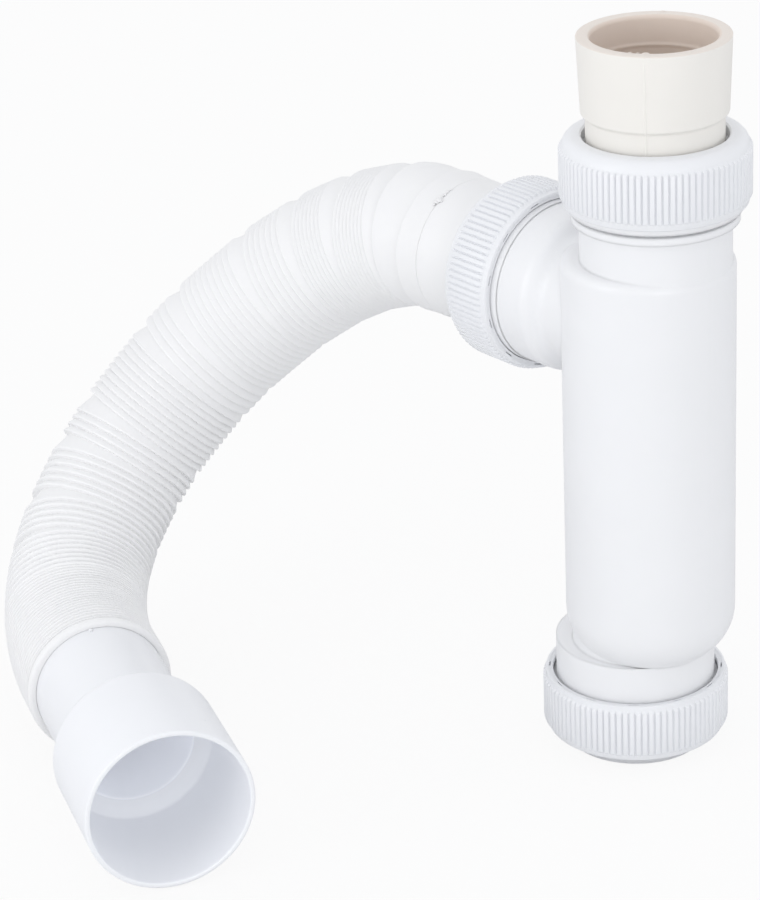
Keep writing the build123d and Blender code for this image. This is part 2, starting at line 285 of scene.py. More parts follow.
def cuff_shade_mask(s, place):
    """Mask of the painted shade: 1 on the inside of the cuff, less on its rim and 0 on its outside."""
    spot, flat, reach = s.about_z(s.vector("SUBTRACT", place, (INLET_X, 0, 0)))
    bore = 1.0 - s.ease(reach, *BORE_SHADE_REACH)
    rim = s.ease(spot.out("Z"), *(CUFF_TOP - depth for depth in RIM_SHADE_DEPTH))
    return s.maths("MAXIMUM", bore, rim * RIM_SHADE)


def mouth_glow_mask(s, place):
    """Share of the painted glow, emission standing in for light let in: some inside the end mouth, most
    inside its tube.
    """
    away = s.vector("SUBTRACT", place, tuple(MOUTH))
    along = s.vector("DOT_PRODUCT", away, tuple(MOUTH_DIR), "Value")
    off = s.vector("SUBTRACT", away, s.vector("SCALE", tuple(MOUTH_DIR), along))
    reach = s.vector("LENGTH", off, output="Value")
    past_step = s.ease(along, *(shift - MOUTH_LEN for shift in STEP_GLOW))
    mouth = (1.0 - s.ease(reach, *MOUTH_GLOW_REACH)) * past_step
    tube = 1.0 - s.ease(reach, *TUBE_GLOW_REACH)
    return s.maths("MAXIMUM", mouth * MOUTH_GLOW, tube * TUBE_GLOW)


def moulded(name, colour, roughness, grain, swirl=0.02, soft=0.0, edge=0.3 * MM, bore=None, painted_glow=None):
    """Moulded plastic or rubber: faint clouding, worn gloss, a fine skin and soft edges.

    Bore is a painted shade, darker and warmer, for the inside of the cuff and in part its rim. The last
    argument is a painted glow: emission standing in for the light that the end mouth's thin wall lets in.
    """
    s = Shader(name)
    if edge:
        eased = s.node("ShaderNodeBevel", {"samples": 6}, {"Radius": edge})
    else:
        eased = s.node("ShaderNodeNewGeometry").out("Normal")
    place = s.node("ShaderNodeTexCoord", output="Object")
    clouds = s.noise(place, 34.0, Detail=3.0, Roughness=0.55)
    flow = s.noise(place, 120.0, Detail=2.0, Distortion=0.6)
    skin_noise = s.noise(place, 1500.0, Detail=2.0)
    tone = s.mix(clouds * 0.7 + flow * 0.3, shade(colour, 1.0 - swirl), shade(colour, 1.0 + swirl))
    # Painted shade: the cuff's bore and rim mixed towards a darker, warmer cream
    if bore:
        tone = s.mix(cuff_shade_mask(s, place), tone, shade(bore, 1.0))
    bump = s.node("ShaderNodeBump", None, {
        "Strength": 0.25, "Distance": grain, "Height": skin_noise * 0.7 + flow * 0.6, "Normal": eased})
    inputs = {
        "Base Color": tone, "Roughness": roughness - 0.06 + clouds * 0.08 + flow * 0.04, "Normal": bump,
        "IOR": PLASTIC_IOR, "Subsurface Weight": soft, "Subsurface Radius": SOFT_RADIUS,
        "Subsurface Scale": SOFT_SCALE,
    }
    # Painted glow: emission inside the end mouth and its tube, standing in for light through the wall; it
    # glows under any lamp
    if painted_glow:
        inputs["Emission Color"] = s.mix(mouth_glow_mask(s, place), BLACK, shade(painted_glow, 1.0))
        inputs["Emission Strength"] = 1.0
    return s.finish(s.node("ShaderNodeBsdfPrincipled", None, inputs))


def material(slot):
    """The finish for one of the record's slots, made once."""
    known = bpy.data.materials.get("trap_" + slot)
    if known:
        return known
    c = bpy.context.scene.trap_colours
    finishes = {
        "white_pp": dict(colour=c.body, roughness=0.30, grain=0.03 * MM, soft=0.12, edge=1.6 * MM),
        "nut_pp": dict(colour=c.nut, roughness=0.38, grain=0.02 * MM, soft=0.08, edge=0.0),
        "hose_pp": dict(colour=c.hose, roughness=0.42, grain=0.015 * MM, soft=0.12, edge=0.0),
        # The connector's finish carries the painted glow in its mouth
        "connector_pp": dict(colour=c.connector, roughness=0.33, grain=0.02 * MM, soft=0.1,
                             painted_glow=c.through),
        # The cuff's finish carries the painted shade in its bore
        "cream_rubber": dict(colour=c.cuff, roughness=0.55, grain=0.05 * MM, swirl=0.03, soft=0.08,
                             bore=c.cuff_bore_shade),
        "black_rubber": dict(colour=c.seal, roughness=0.6, grain=0.12 * MM, swirl=0.1),
    }
    return moulded("trap_" + slot, **finishes[slot])


# Mesh tools

SAME_POINT = 1e-7


def piece(name, mesh, node, body, rides=True):
    """Puts a finished mesh in the scene as a piece that rides a body."""
    made = bpy.data.objects.new(name, mesh)
    bpy.context.scene.collection.objects.link(made)
    mesh.materials.clear()
    mesh.materials.append(material(SLOTS[node]))
    if rides:
        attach(made, body)
    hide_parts(node)
    return made


def smooth(mesh, angle=32):
    """Smooth faces with sharp edges where the surface turns."""
    for face in mesh.polygons:
        face.use_smooth = True
    mesh.set_sharp_from_angle(angle=math.radians(angle))
    return mesh


def lathe(name, profile, place=None, turns=128, push=None):
    """Turns a closed (radius, height) outline about Z; push moves a point outward and up."""
    angles = [2 * math.pi * k / turns for k in range(turns)] if isinstance(turns, int) else turns
    work = bmesh.new()
    rings = []
    for angle in angles:
        ring = []
        for r, h in profile:
            out, lift = push(angle, r, h) if push else (0.0, 0.0)
            far = r + out
            ring.append(work.verts.new((far * math.cos(angle), far * math.sin(angle), h + lift)))
        rings.append(ring)
    for here, there in zip(rings, rings[1:] + rings[:1]):
        for k in range(len(profile)):
            n = (k + 1) % len(profile)
            work.faces.new((here[k], there[k], there[n], here[n]))
    bmesh.ops.remove_doubles(work, verts=work.verts, dist=SAME_POINT)
    bmesh.ops.dissolve_degenerate(work, edges=work.edges, dist=SAME_POINT)
    bmesh.ops.recalc_face_normals(work, faces=work.faces)
    mesh = bpy.data.meshes.new(name)
    work.to_mesh(mesh)
    work.free()
    if place:
        mesh.transform(place)
    mesh.update()
    return smooth(mesh)


def rounded(points, size, steps=4):
    """A closed outline with every corner rounded by up to the size."""
    out = []
    count = len(points)
    for k in range(count):
        here = Vector(points[k])
        before = Vector(points[k - 1])
        after = Vector(points[(k + 1) % count])
        cut = min(size, 0.45 * (here - before).length, 0.45 * (after - here).length)
        a = here + (before - here).normalized() * cut
        b = here + (after - here).normalized() * cut
        for step in range(steps + 1):
            t = step / steps
            p = a.lerp(here, t).lerp(here.lerp(b, t), t)
            out.append((p.x, p.y))
    return out


def in_mm(pairs):
    """An outline written in mm."""
    return [(r * MM, h * MM) for r, h in pairs]


def dressed(node):
    """A CAD node that stays gets its finish."""
    part = frame["nodes"][node]
    part.data.materials.clear()
    part.data.materials.append(material(SLOTS[node]))


def upright(x, z, flip=False):
    """Place on the Z axis at x and z, or turned to point down."""
    spin = Matrix.Rotation(math.pi, 4, "X") if flip else Matrix()
    return Matrix.Translation((x, 0, z)) @ spin


def along_outlet(x, z):
    """Place whose Z axis runs out along the outlet."""
    return Matrix.Translation((x, 0, z)) @ Matrix.Rotation(-math.pi / 2, 4, "Y")


# Pieces

OUTLET_Z = 138.9 * MM
INLET_X = 10.0 * MM
MOUTH = Vector((-24.8, -156.6, 25.0)) * MM
MOUTH_TURN = math.radians(-20.6)
MOUTH_DIR = Vector((math.cos(MOUTH_TURN), math.sin(MOUTH_TURN), 0))


KEPT_NODES = ("trap_body", "dip_tube", "inlet_slip_ring", "outlet_slip_ring", "outlet_seal", "cap_washer")


class TRAP_OT_body(bpy.types.Operator):
    """Finish of the trap body and of the pieces hidden in it"""

    bl_idname = "trap.body"
    bl_label = "Trap body"

    def execute(self, context):
        for node in KEPT_NODES:
            dressed(node)
        return {"FINISHED"}


INLET_NUT_Z = 175.4 * MM
OUTLET_NUT_X = -33.6 * MM
NUT_LIP = 1.6 * MM
NUT_RIB_TOP = 16.8 * MM
NUT_HEIGHT = 20.0 * MM
NUT_BORE = 25.3 * MM
NUT_LIP_BORE = 24.95 * MM
INLET_HOLE = 20.8 * MM
OUTLET_HOLE = 21.2 * MM
SLOT_IN = 25.75 * MM
SLOT_OUT = 26.15 * MM
SLOT_DEPTH = 1.2 * MM
SLOT_OPEN = math.radians(6.5)
SLOT_LAP = 0.1 * MM
RIM_SLOTS = 12
RIB_ROUND = 0.9 * MM
RIB_FLANK = (0.56, 0.9)
RIB_ROWS = 4
TURNS_PER_RIB = 10
WALL_SLACK = 0.02 * MM
# Points on a nut's outside, each with its distance in from the wall and its height, in mm
RIM_EDGE = ((0.5, 0.0), (0.1, 0.15), (0.0, 0.5))
SHOULDER = ((0.15, 17.5), (0.6, 18.4))
NUT_FACE = ((1.3, 19.2), (2.2, 19.75), (3.2, 20.0))
CAP_FACE = ((2.6, 19.0),)
CAP_RIM_Z = 23.0 * MM
CAP_FLOOR = 4.4 * MM
CAP_BASE = 20.5 * MM


def ribbed(mesh, slot, size, wall):
    """Raises the ribs on the outer wall of a turned nut."""
    t = Shape("nut_ribs", Ribs=size.nut_ribs, Depth=size.rib_depth, Wall=wall,
              Foot=NUT_LIP, Top=NUT_RIB_TOP, Round=RIB_ROUND)
    spot, flat, reach = t.about_z(t.node("GeometryNodeInputPosition"))
    turn = t.maths("ARCTAN2", spot.out("Y"), spot)
    part = t.maths("FRACT", (turn / (2 * math.pi) + 1.0) * t.size("Ribs"))
    side = t.maths("ABSOLUTE", part - 0.5) * 2.0
    rib = 1.0 - t.ease(side, *RIB_FLANK)
    height = spot.out("Z")
    span = t.ease(height, t.size("Foot"), t.size("Foot") + t.size("Round"))
    span = span * (1.0 - t.ease(height, t.size("Top") - t.size("Round"), t.size("Top")))
    outer = t.maths("GREATER_THAN", reach, t.size("Wall") - WALL_SLACK)
    push = t.vector("SCALE", t.vector("NORMALIZE", flat), rib * span * outer * t.size("Depth"))
    moved = t.node("GeometryNodeSetPosition", None, {"Geometry": t.size("Geometry"), "Offset": push})
    return t.run(mesh, moved, slot)


def rib_rows(wall):
    """Points up the outer wall, close together where a rib begins and ends."""
    steps = [RIB_ROUND * step / RIB_ROWS for step in range(RIB_ROWS + 1)]
    rows = [NUT_LIP + step for step in steps]
    rows += [NUT_RIB_TOP - RIB_ROUND + step for step in steps]
    return [(wall, row) for row in rows]


def off_wall(wall, points):
    """Points set in from a nut's wall."""
    return [(wall - inward * MM, height * MM) for inward, height in points]


def filler(sweep):
    """One stretch of the rim between two slots."""
    work = bmesh.new()
    steps = 8
    rings = []
    for step in range(steps + 1):
        angle = sweep * (step / steps - 0.5)
        ring = []
        for r, h in ((SLOT_IN - SLOT_LAP, 0.12 * MM), (SLOT_OUT + SLOT_LAP, 0.06 * MM),
                     (SLOT_OUT + SLOT_LAP, SLOT_DEPTH), (SLOT_IN - SLOT_LAP, SLOT_DEPTH)):
            ring.append(work.verts.new((r * math.cos(angle), r * math.sin(angle), h)))
        rings.append(ring)
    for here, there in zip(rings, rings[1:]):
        for k in range(4):
            n = (k + 1) % 4
            work.faces.new((here[k], there[k], there[n], here[n]))
    work.faces.new(rings[0])
    work.faces.new(reversed(rings[-1]))
    bmesh.ops.recalc_face_normals(work, faces=work.faces)
    mesh = bpy.data.meshes.new("filler")
    work.to_mesh(mesh)
    work.free()
    return mesh


def filler_ring(slot, count, open_turn):
    """Stretches of rim turned round the nut's axis, with a slot between each two."""
    t = Shape("rim_slots", Count=count)
    turns = t.node("GeometryNodeMeshLine", None, {"Count": t.size("Count"), "Offset": (0, 0, 0)})
    step = t.node("GeometryNodeInputIndex") * (2 * math.pi / count)
    spin = t.node("FunctionNodeEulerToRotation", None,
                  {0: t.node("ShaderNodeCombineXYZ", None, {"Z": step})})
    copies = t.node("GeometryNodeInstanceOnPoints", None,
                    {"Points": turns, "Instance": t.size("Geometry"), "Rotation": spin})
    return t.run(filler(2 * math.pi / count - open_turn), copies, slot)


def lumps(name, places, stretch):
    """Small moulding marks, each a flattened ball with a place, a turn about Z and a size."""
    work = bmesh.new()
    for spot, turn, size in places:
        ball = bmesh.ops.create_icosphere(work, subdivisions=2, radius=size)
        spin = Matrix.Rotation(turn, 4, "Z")
        shape = Matrix.Translation(spot) @ spin @ Matrix.Diagonal((*stretch, 1))
        bmesh.ops.transform(work, matrix=shape, verts=ball["verts"])
    mesh = bpy.data.meshes.new(name)
    work.to_mesh(mesh)
    work.free()
    return mesh


def joined(name, *meshes):
    """Several meshes as one."""
    work = bmesh.new()
    for mesh in meshes:
        work.from_mesh(mesh)
    made = bpy.data.meshes.new(name)
    work.to_mesh(made)
    work.free()
    return made


class TRAP_OT_nuts(bpy.types.Operator):
    """Two ribbed nuts and the ribbed cleaning cap"""

    bl_idname = "trap.nuts"
    bl_label = "Nuts and cap"

    def execute(self, context):
        size = context.scene.trap_sizes
        self.make(size, "inlet_nut", size.inlet_nut_radius, INLET_HOLE, upright(INLET_X, INLET_NUT_Z))
        self.make(size, "outlet_nut", size.nut_radius, OUTLET_HOLE, along_outlet(OUTLET_NUT_X, OUTLET_Z))
        self.make(size, "cleaning_cap", size.nut_radius, 0.0, upright(0, CAP_RIM_Z, True))
        return {"FINISHED"}

    def make(self, size, node, radius, hole, place):
        """One nut; without a hole its face is closed by the cap's stepped base."""
        wall = radius - size.rib_depth
        outline = [
            (NUT_BORE, 2.4 * MM), (NUT_LIP_BORE, 1.8 * MM), (NUT_LIP_BORE, 0.4 * MM),
            (NUT_LIP_BORE + 0.2 * MM, 0.15 * MM),
            (SLOT_IN, 0.1 * MM), (SLOT_IN, SLOT_DEPTH), (SLOT_OUT, SLOT_DEPTH), (SLOT_OUT, 0.04 * MM),
            (SLOT_OUT + SLOT_LAP, 0),
        ]
        outline += off_wall(wall, RIM_EDGE) + rib_rows(wall) + off_wall(wall, SHOULDER)
        if hole:
            outline += off_wall(wall, NUT_FACE)
            outline += [
                (hole + 0.5 * MM, NUT_HEIGHT), (hole, NUT_HEIGHT - 0.5 * MM), (hole, NUT_RIB_TOP),
                (NUT_BORE, NUT_RIB_TOP),
            ]
        else:
            inside = CAP_RIM_Z - CAP_FLOOR
            outline += off_wall(wall, CAP_FACE)
            outline += [
                (CAP_BASE + 0.5 * MM, CAP_RIM_Z - 0.15 * MM), (CAP_BASE - 0.3 * MM, CAP_RIM_Z),
                (0, CAP_RIM_Z), (0, inside), (NUT_BORE, inside),
            ]
        turned = lathe(node + "_turned", outline, None, size.nut_ribs * TURNS_PER_RIB)
        ribs = ribbed(turned, SLOTS[node], size, wall)
        rim = filler_ring(SLOTS[node], RIM_SLOTS, SLOT_OPEN)
        whole = joined(node + "_looks", ribs, rim)
        whole.transform(place)
        piece(node + "_looks", smooth(whole), node, node)


CUFF_SEAM = math.radians(-51.0)
CUFF_TOP = 223.9 * MM
CUFF_NECK_Z = 196.0 * MM
CUFF_WALL = 19.5 * MM
LEAN_DIR = Vector((-0.62, -0.78, 0.0))
SEAM_WIDTH = 0.22 * MM
SEAM_HEIGHT = 0.24 * MM
SEAM_FADE = 0.8 * MM
SEAM_STEP = math.radians(0.12)
CUFF_TURNS = 160
CUFF_ROUND = 0.5 * MM
CUFF_LIP = 18.4 * MM
# Radius and height in mm, up the outside to the rim and down the bore
CUFF_OUTSIDE = ((16.6, 186.4), (25.0, 186.4), (25.0, 190.4), (19.6, 190.4), (19.6, 200.9), (20.9, 201.8))
CUFF_INSIDE = ((17.8, 223.0), (17.8, 216.0), (17.4, 215.2), (17.8, 214.4), (17.8, 209.0), (17.3, 208.0),
               (17.3, 199.0), (16.6, 199.0))
# Turn from the seam, radius and size of each nib, in radians and mm
CUFF_NIBS = ((0.0, 18.5, 0.7), (-0.12, 18.3, 0.35), (-0.24, 18.3, 0.4), (math.pi, 20.8, 0.65))
NIB_SHAPE = (0.8, 1.5, 0.42)


class TRAP_OT_cuff(bpy.types.Operator):
    """Rubber inlet cuff with its mould seam and the nibs on its rim"""

    bl_idname = "trap.cuff"
    bl_label = "Inlet cuff"

    def execute(self, context):
        size = context.scene.trap_sizes
        rim = [(size.cuff_radius, CUFF_TOP), (CUFF_LIP, CUFF_TOP)]
        profile = rounded(in_mm(CUFF_OUTSIDE) + rim + in_mm(CUFF_INSIDE), CUFF_ROUND)
        fine = [CUFF_SEAM + half * math.pi + SEAM_STEP * k for half in (0, 1) for k in range(-16, 17)]
        even = [2 * math.pi * k / CUFF_TURNS for k in range(CUFF_TURNS)]
        turns = sorted({round(math.fmod(a + 4 * math.pi, 2 * math.pi), 6) for a in fine + even})
        body = lathe("cuff", profile, None, turns, self.seam)
        places = []
        for turn, reach, nib in CUFF_NIBS:
            places.append((self.on_rim(CUFF_SEAM + turn, reach * MM), CUFF_SEAM, nib * MM))
        nibs = lumps("cuff_nibs", places, NIB_SHAPE)
        whole = joined("inlet_cuff_looks", body, nibs)
        for vertex in whole.vertices:
            rise = max(0.0, vertex.co.z - CUFF_NECK_Z) / (CUFF_TOP - CUFF_NECK_Z)
            vertex.co += LEAN_DIR * size.cuff_lean * rise
        whole.transform(Matrix.Translation((INLET_X, 0, 0)))
        piece("inlet_cuff_looks", smooth(whole), "inlet_cuff", "inlet_cuff")
        return {"FINISHED"}

    def seam(self, angle, r, h):
        """A fine ridge down two sides of the cuff, fading at its rim."""
        if r < CUFF_WALL:
            return 0.0, 0.0
        near = 0.0
        for middle in (CUFF_SEAM, CUFF_SEAM + math.pi):
            off = math.remainder(angle - middle, 2 * math.pi)
            near += math.exp(-(off * r / SEAM_WIDTH) ** 2)
        rim = max(0.0, 1.0 - (CUFF_TOP - h) / SEAM_FADE)
        return SEAM_HEIGHT * near * (1 - rim), 0.0

    def on_rim(self, angle, reach):
        """A place on top of the rim."""
        return Vector((reach * math.cos(angle), reach * math.sin(angle), CUFF_TOP))


# Radius and distance along the outlet, in mm
SPIGOT_OUTLINE = ((18.0, 28.3), (20.0, 28.3), (20.0, 56.0), (20.5, 62.0), (21.3, 67.5), (21.9, 71.0),
                  (20.0, 71.0), (20.0, 78.0), (18.0, 78.0))
SPIGOT_ROUND = 0.35 * MM
SPIGOT_TURNS = 160
WELD_RADIUS = 22.0 * MM
WELD_SHAPE = (1.0, 1.4, 0.6)
# Turn about the outlet in degrees, distance along it and size of each lump of the weld mark, in mm
WELD_MARKS = ((53, 71.9, 0.55), (56, 71.6, 0.9), (58.5, 71.3, 1.15), (61, 71.5, 0.7), (64.5, 71.1, 0.5),
              (68, 71.2, 0.45), (72, 71.0, 0.4))


class TRAP_OT_spigot(bpy.types.Operator):
    """Smooth spigot with the ragged weld mark on top"""

    bl_idname = "trap.spigot"
    bl_label = "Hose spigot"

    def execute(self, context):
        profile = rounded(in_mm(SPIGOT_OUTLINE), SPIGOT_ROUND)
        body = lathe("spigot", profile, along_outlet(0, OUTLET_Z), SPIGOT_TURNS)
        places = []
        for turn, along, reach in WELD_MARKS:
            angle = math.radians(turn)
            across = -WELD_RADIUS * math.cos(angle)
            spot = Vector((-along * MM, across, OUTLET_Z + WELD_RADIUS * math.sin(angle)))
            places.append((spot, angle, reach * MM))
        weld = lumps("weld_mark", places, WELD_SHAPE)
        piece("hose_spigot_looks", smooth(joined("hose_spigot_looks", body, weld)), "hose_spigot", "hose")
        return {"FINISHED"}


MOUTH_LEN = 42.0 * MM
TUBE_LEN = 37.0 * MM
COLLAR = 12.0 * MM
HOSE_START = Vector((-83.1, 0, 138.9)) * MM
HOSE_END = MOUTH - MOUTH_DIR * (MOUTH_LEN + TUBE_LEN)
PLEATS_END = HOSE_END - MOUTH_DIR * COLLAR
UPPER_PULL = 67.0 * MM
LOWER_PULL = 111.0 * MM
HOSE_BORE = 19.2 * MM
COLLAR_BORE = 20.35 * MM
COLLAR_STEP = 4.0 * MM
OUTWARD = Vector((-1, 0, 0))
PATH_STEPS = 600
BORE_STEPS = 72
HOSE_AROUND = 168
WEDGE_GAP = 0.25 * MM
WEDGE_SHIFT = 0.8 * MM
# Where each group of pleats ends along the hose, its number of pleats, its groove in mm
# and how far the group itself is bent
GROUPS = (
    (0.055, 1, 0.9, 1.0), (0.129, 9, 0.9, 0.2), (0.200, 8, 0.9, 0.2), (0.284, 7, 1.1, 0.2),
    (0.396, 10, 0.95, 0.3), (0.458, 4, 1.1, 0.2), (0.573, 10, 1.15, 0.4), (0.631, 4, 1.2, 0.3),
    (0.714, 6, 1.2, 0.5), (0.782, 5, 1.2, 0.6), (0.875, 8, 1.0, 1.0), (1.0, 17, 0.65, 1.0),
)
OPEN_GROUPS = 10
# One pleat: share of its pitch and share of its groove, a long flank up to a narrow crest
PLEAT = ((0.0, 1.0), (0.5, 0.22), (0.7, 0.0), (0.88, 0.1))
# Distance off the pleats and radius along each end collar, in mm
FIRST_COLLAR = ((12.0, 20.35), (12.0, 21.3), (11.7, 21.7), (5.0, 22.1), (3.4, 22.3), (3.0, 22.1),
                (2.7, 21.4))
LAST_COLLAR = ((9.2, 21.5), (9.5, 22.1), (10.0, 22.3), (11.2, 22.2), (11.7, 21.85), (12.0, 21.2),
               (12.0, 20.08), (11.0, 20.08))
COLLAR_PLEATS = 5
COLLAR_GROOVE = 0.65 * MM


class HosePath:
    """The centreline of the pleats, measured by shares of its length."""

    def __init__(self):
        reins = (HOSE_START, HOSE_START - Vector((UPPER_PULL, 0, 0)),
                 PLEATS_END - MOUTH_DIR * LOWER_PULL, PLEATS_END)
        self.points = interpolate_bezier(*reins, PATH_STEPS)
        self.marks = [0.0]
        for a, b in zip(self.points, self.points[1:]):
            self.marks.append(self.marks[-1] + (b - a).length)
        self.length = self.marks[-1]

    def spot(self, share):
        """Point and direction at a share of the length."""
        want = min(max(share, 0.0), 1.0) * self.length
        k = min(max(bisect.bisect_left(self.marks, want), 1), len(self.points) - 1)
        a = self.points[k - 1]
        b = self.points[k]
        part = (want - self.marks[k - 1]) / (self.marks[k] - self.marks[k - 1])
        return a.lerp(b, part), (b - a).normalized()


class PleatGroup:
    """A nearly straight stack of pleats between two shares of the hose."""

    def __init__(self, path, begin, end, count, groove, bend):
        self.path = path
        self.begin = begin
        self.end = end
        self.count = count
        self.groove = groove * MM
        self.bend = bend
        self.foot = path.spot(begin)[0]
        self.head = path.spot(end)[0]
        self.chord = (self.head - self.foot).normalized()

    def run(self, share):
        """Direction of the stack at a share of the hose."""
        return self.chord.lerp(self.path.spot(share)[1], self.bend).normalized()

    def ring(self, share, radius):
        """Centre, direction and radius of one ring of the stack."""
        straight = self.foot.lerp(self.head, (share - self.begin) / (self.end - self.begin))
        return straight.lerp(self.path.spot(share)[0], self.bend), self.run(share), radius


def hose_rings(size):
    """The rings of the hose's skin: out over the collars and pleats, back along the bore."""
    path = HosePath()
    crest = size.crest_radius
    groups = []
    begin = 0.0
    for end, count, groove, bend in GROUPS:
        groups.append(PleatGroup(path, begin, end, count, groove, bend))
        begin = end
    rings = [(HOSE_START - OUTWARD * along * MM, OUTWARD, radius * MM) for along, radius in FIRST_COLLAR]
    gap = 0.0
    for number, group in enumerate(groups):
        opened = number < OPEN_GROUPS
        first = group.begin + gap / path.length
        gap = 0.0
        if opened:
            turn = group.run(group.end).angle(groups[number + 1].run(group.end))
            gap = crest * math.tan(turn / 2) + WEDGE_GAP
        last = group.end - gap / path.length
        for pleat in range(group.count):
            for part, dip in PLEAT:
                if part == 0.0 and pleat == 0 and 0 < number <= OPEN_GROUPS:
                    continue
                share = first + (pleat + part) / group.count * (last - first)
                rings.append(group.ring(share, crest - dip * group.groove))
        if opened:
            turned = groups[number + 1].run(group.end) - group.run(group.end)
            inward = turned.normalized() * WEDGE_SHIFT
            centre, run, radius = group.ring(last, crest - size.open_depth + WEDGE_SHIFT)
            rings.append((centre + inward, run, radius))
    for pleat in range(COLLAR_PLEATS):
        for part, dip in PLEAT:
            along = (pleat + part) / COLLAR_PLEATS * LAST_COLLAR[0][0] * MM
            rings.append((PLEATS_END + MOUTH_DIR * along, MOUTH_DIR, crest - dip * COLLAR_GROOVE))
    for along, radius in LAST_COLLAR:
        rings.append((PLEATS_END + MOUTH_DIR * along * MM, MOUTH_DIR, radius * MM))
    rings.append((PLEATS_END + MOUTH_DIR * COLLAR_STEP, MOUTH_DIR, COLLAR_BORE))
    for step in range(BORE_STEPS, -1, -1):
        rings.append((*path.spot(step / BORE_STEPS), HOSE_BORE))
    rings.append((HOSE_START - OUTWARD * COLLAR_STEP, OUTWARD, COLLAR_BORE))
    return rings


def skin(name, rings, slot, around):
    """The closed skin over a loop of rings."""
    dots = bpy.data.meshes.new(name)
    dots.from_pydata([spot for spot, run, radius in rings], [], [])
    runs = dots.attributes.new("run", "FLOAT_VECTOR", "POINT")
    runs.data.foreach_set("vector", [value for spot, run, radius in rings for value in run])
    reach = dots.attributes.new("reach", "FLOAT", "POINT")
    reach.data.foreach_set("value", [radius for spot, run, radius in rings])
    t = Shape(name + "_skin", Rings=len(rings), Around=around)
    sheet = t.node("GeometryNodeMeshGrid", None,
                   {"Vertices X": t.size("Rings") + 1, "Vertices Y": t.size("Around") + 1})
    index = t.node("GeometryNodeInputIndex")
    row = t.maths("FLOOR", index / (t.size("Around") + 1))
    turn = (index - row * (t.size("Around") + 1)) * (2 * math.pi) / t.size("Around")
    ring = t.maths("MODULO", row, t.size("Rings"))

    def of_ring(kind, value):
        return t.node("GeometryNodeSampleIndex", {"data_type": kind},
                      {"Geometry": t.size("Geometry"), "Value": value, "Index": ring})

    def stored(kind, label):
        named = t.node("GeometryNodeInputNamedAttribute", {"data_type": kind}, {"Name": label})
        return of_ring(kind, named)

    run = stored("FLOAT_VECTOR", "run")
    side = t.vector("NORMALIZE", t.vector("CROSS_PRODUCT", run, (0, 0, 1)))
    up = t.vector("CROSS_PRODUCT", side, run)
    wide = t.vector("SCALE", side, t.maths("COSINE", turn))
    tall = t.vector("SCALE", up, t.maths("SINE", turn))
    arm = t.vector("SCALE", t.vector("ADD", wide, tall), stored("FLOAT", "reach"))
    place = t.vector("ADD", of_ring("FLOAT_VECTOR", t.node("GeometryNodeInputPosition")), arm)
    moved = t.node("GeometryNodeSetPosition", None, {"Geometry": sheet, "Position": place})
    closed = t.node("GeometryNodeMergeByDistance", None, {"Geometry": moved, "Distance": 1e-6})
    mesh = t.run(dots, closed, slot)
    work = bmesh.new()
    work.from_mesh(mesh)
    bmesh.ops.recalc_face_normals(work, faces=work.faces)
    work.to_mesh(mesh)
    work.free()
    return mesh


class TRAP_OT_hose(bpy.types.Operator):
    """Concertina hose: groups of closed pleats that gape where the hose bends"""

    bl_idname = "trap.hose"
    bl_label = "Concertina hose"

    def execute(self, context):
        rings = hose_rings(context.scene.trap_sizes)
        mesh = skin("concertina_hose_looks", rings, SLOTS["concertina_hose"], HOSE_AROUND)
        made = piece("concertina_hose_looks", smooth(mesh), "concertina_hose", "hose", rides=False)
        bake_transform(made)
        return {"FINISHED"}


CONNECTOR_WALL = 1.6 * MM
MOUTH_RADIUS = 25.0 * MM
TUBE_RADIUS = 20.0 * MM
TUBE_IN_HOSE = 7.0 * MM
CONNECTOR_ROUND = 0.7 * MM
CONNECTOR_TURNS = 176
# Distance along the mouth, turn about it in degrees, radius and size of each gate mark, in mm
GATE_MARKS = ((-10.5, 55, 24.9, 0.35), (-78.2, 95, 20.1, 0.7))
GATE_SHAPE = (1.2, 1.0, 0.6)


class TRAP_OT_connector(bpy.types.Operator):
    """End connector: a thin tube that steps up to a wide mouth"""

    bl_idname = "trap.connector"
    bl_label = "End connector"

    def execute(self, context):
        wide = MOUTH_RADIUS
        slim = TUBE_RADIUS
        step = -MOUTH_LEN
        tail = -MOUTH_LEN - TUBE_LEN - TUBE_IN_HOSE
        profile = rounded([
            (wide - CONNECTOR_WALL, 0), (wide, 0), (wide, step + 4.5 * MM),
            (wide - 0.9 * MM, step + 2.2 * MM), (slim + 1.3 * MM, step + 0.4 * MM),
            (slim, step - 0.6 * MM), (slim, tail), (slim - CONNECTOR_WALL, tail),
            (slim - CONNECTOR_WALL, step), (wide - CONNECTOR_WALL, step + 3.5 * MM),
        ], CONNECTOR_ROUND)
        place = Matrix.Translation(MOUTH) @ MOUTH_DIR.to_track_quat("Z", "Y").to_matrix().to_4x4()
        body = lathe("connector", profile, place, CONNECTOR_TURNS)
        side = Vector((-MOUTH_DIR.y, MOUTH_DIR.x, 0))
        places = []
        for along, turn, reach, radius in GATE_MARKS:
            angle = math.radians(turn)
            out = side * math.cos(angle) + Vector((0, 0, 1)) * math.sin(angle)
            places.append((MOUTH + MOUTH_DIR * along * MM + out * reach * MM, MOUTH_TURN, radius * MM))
        whole = joined("end_connector_looks", body, lumps("gate_marks", places, GATE_SHAPE))
        piece("end_connector_looks", smooth(whole), "end_connector", "hose_end")
        return {"FINISHED"}


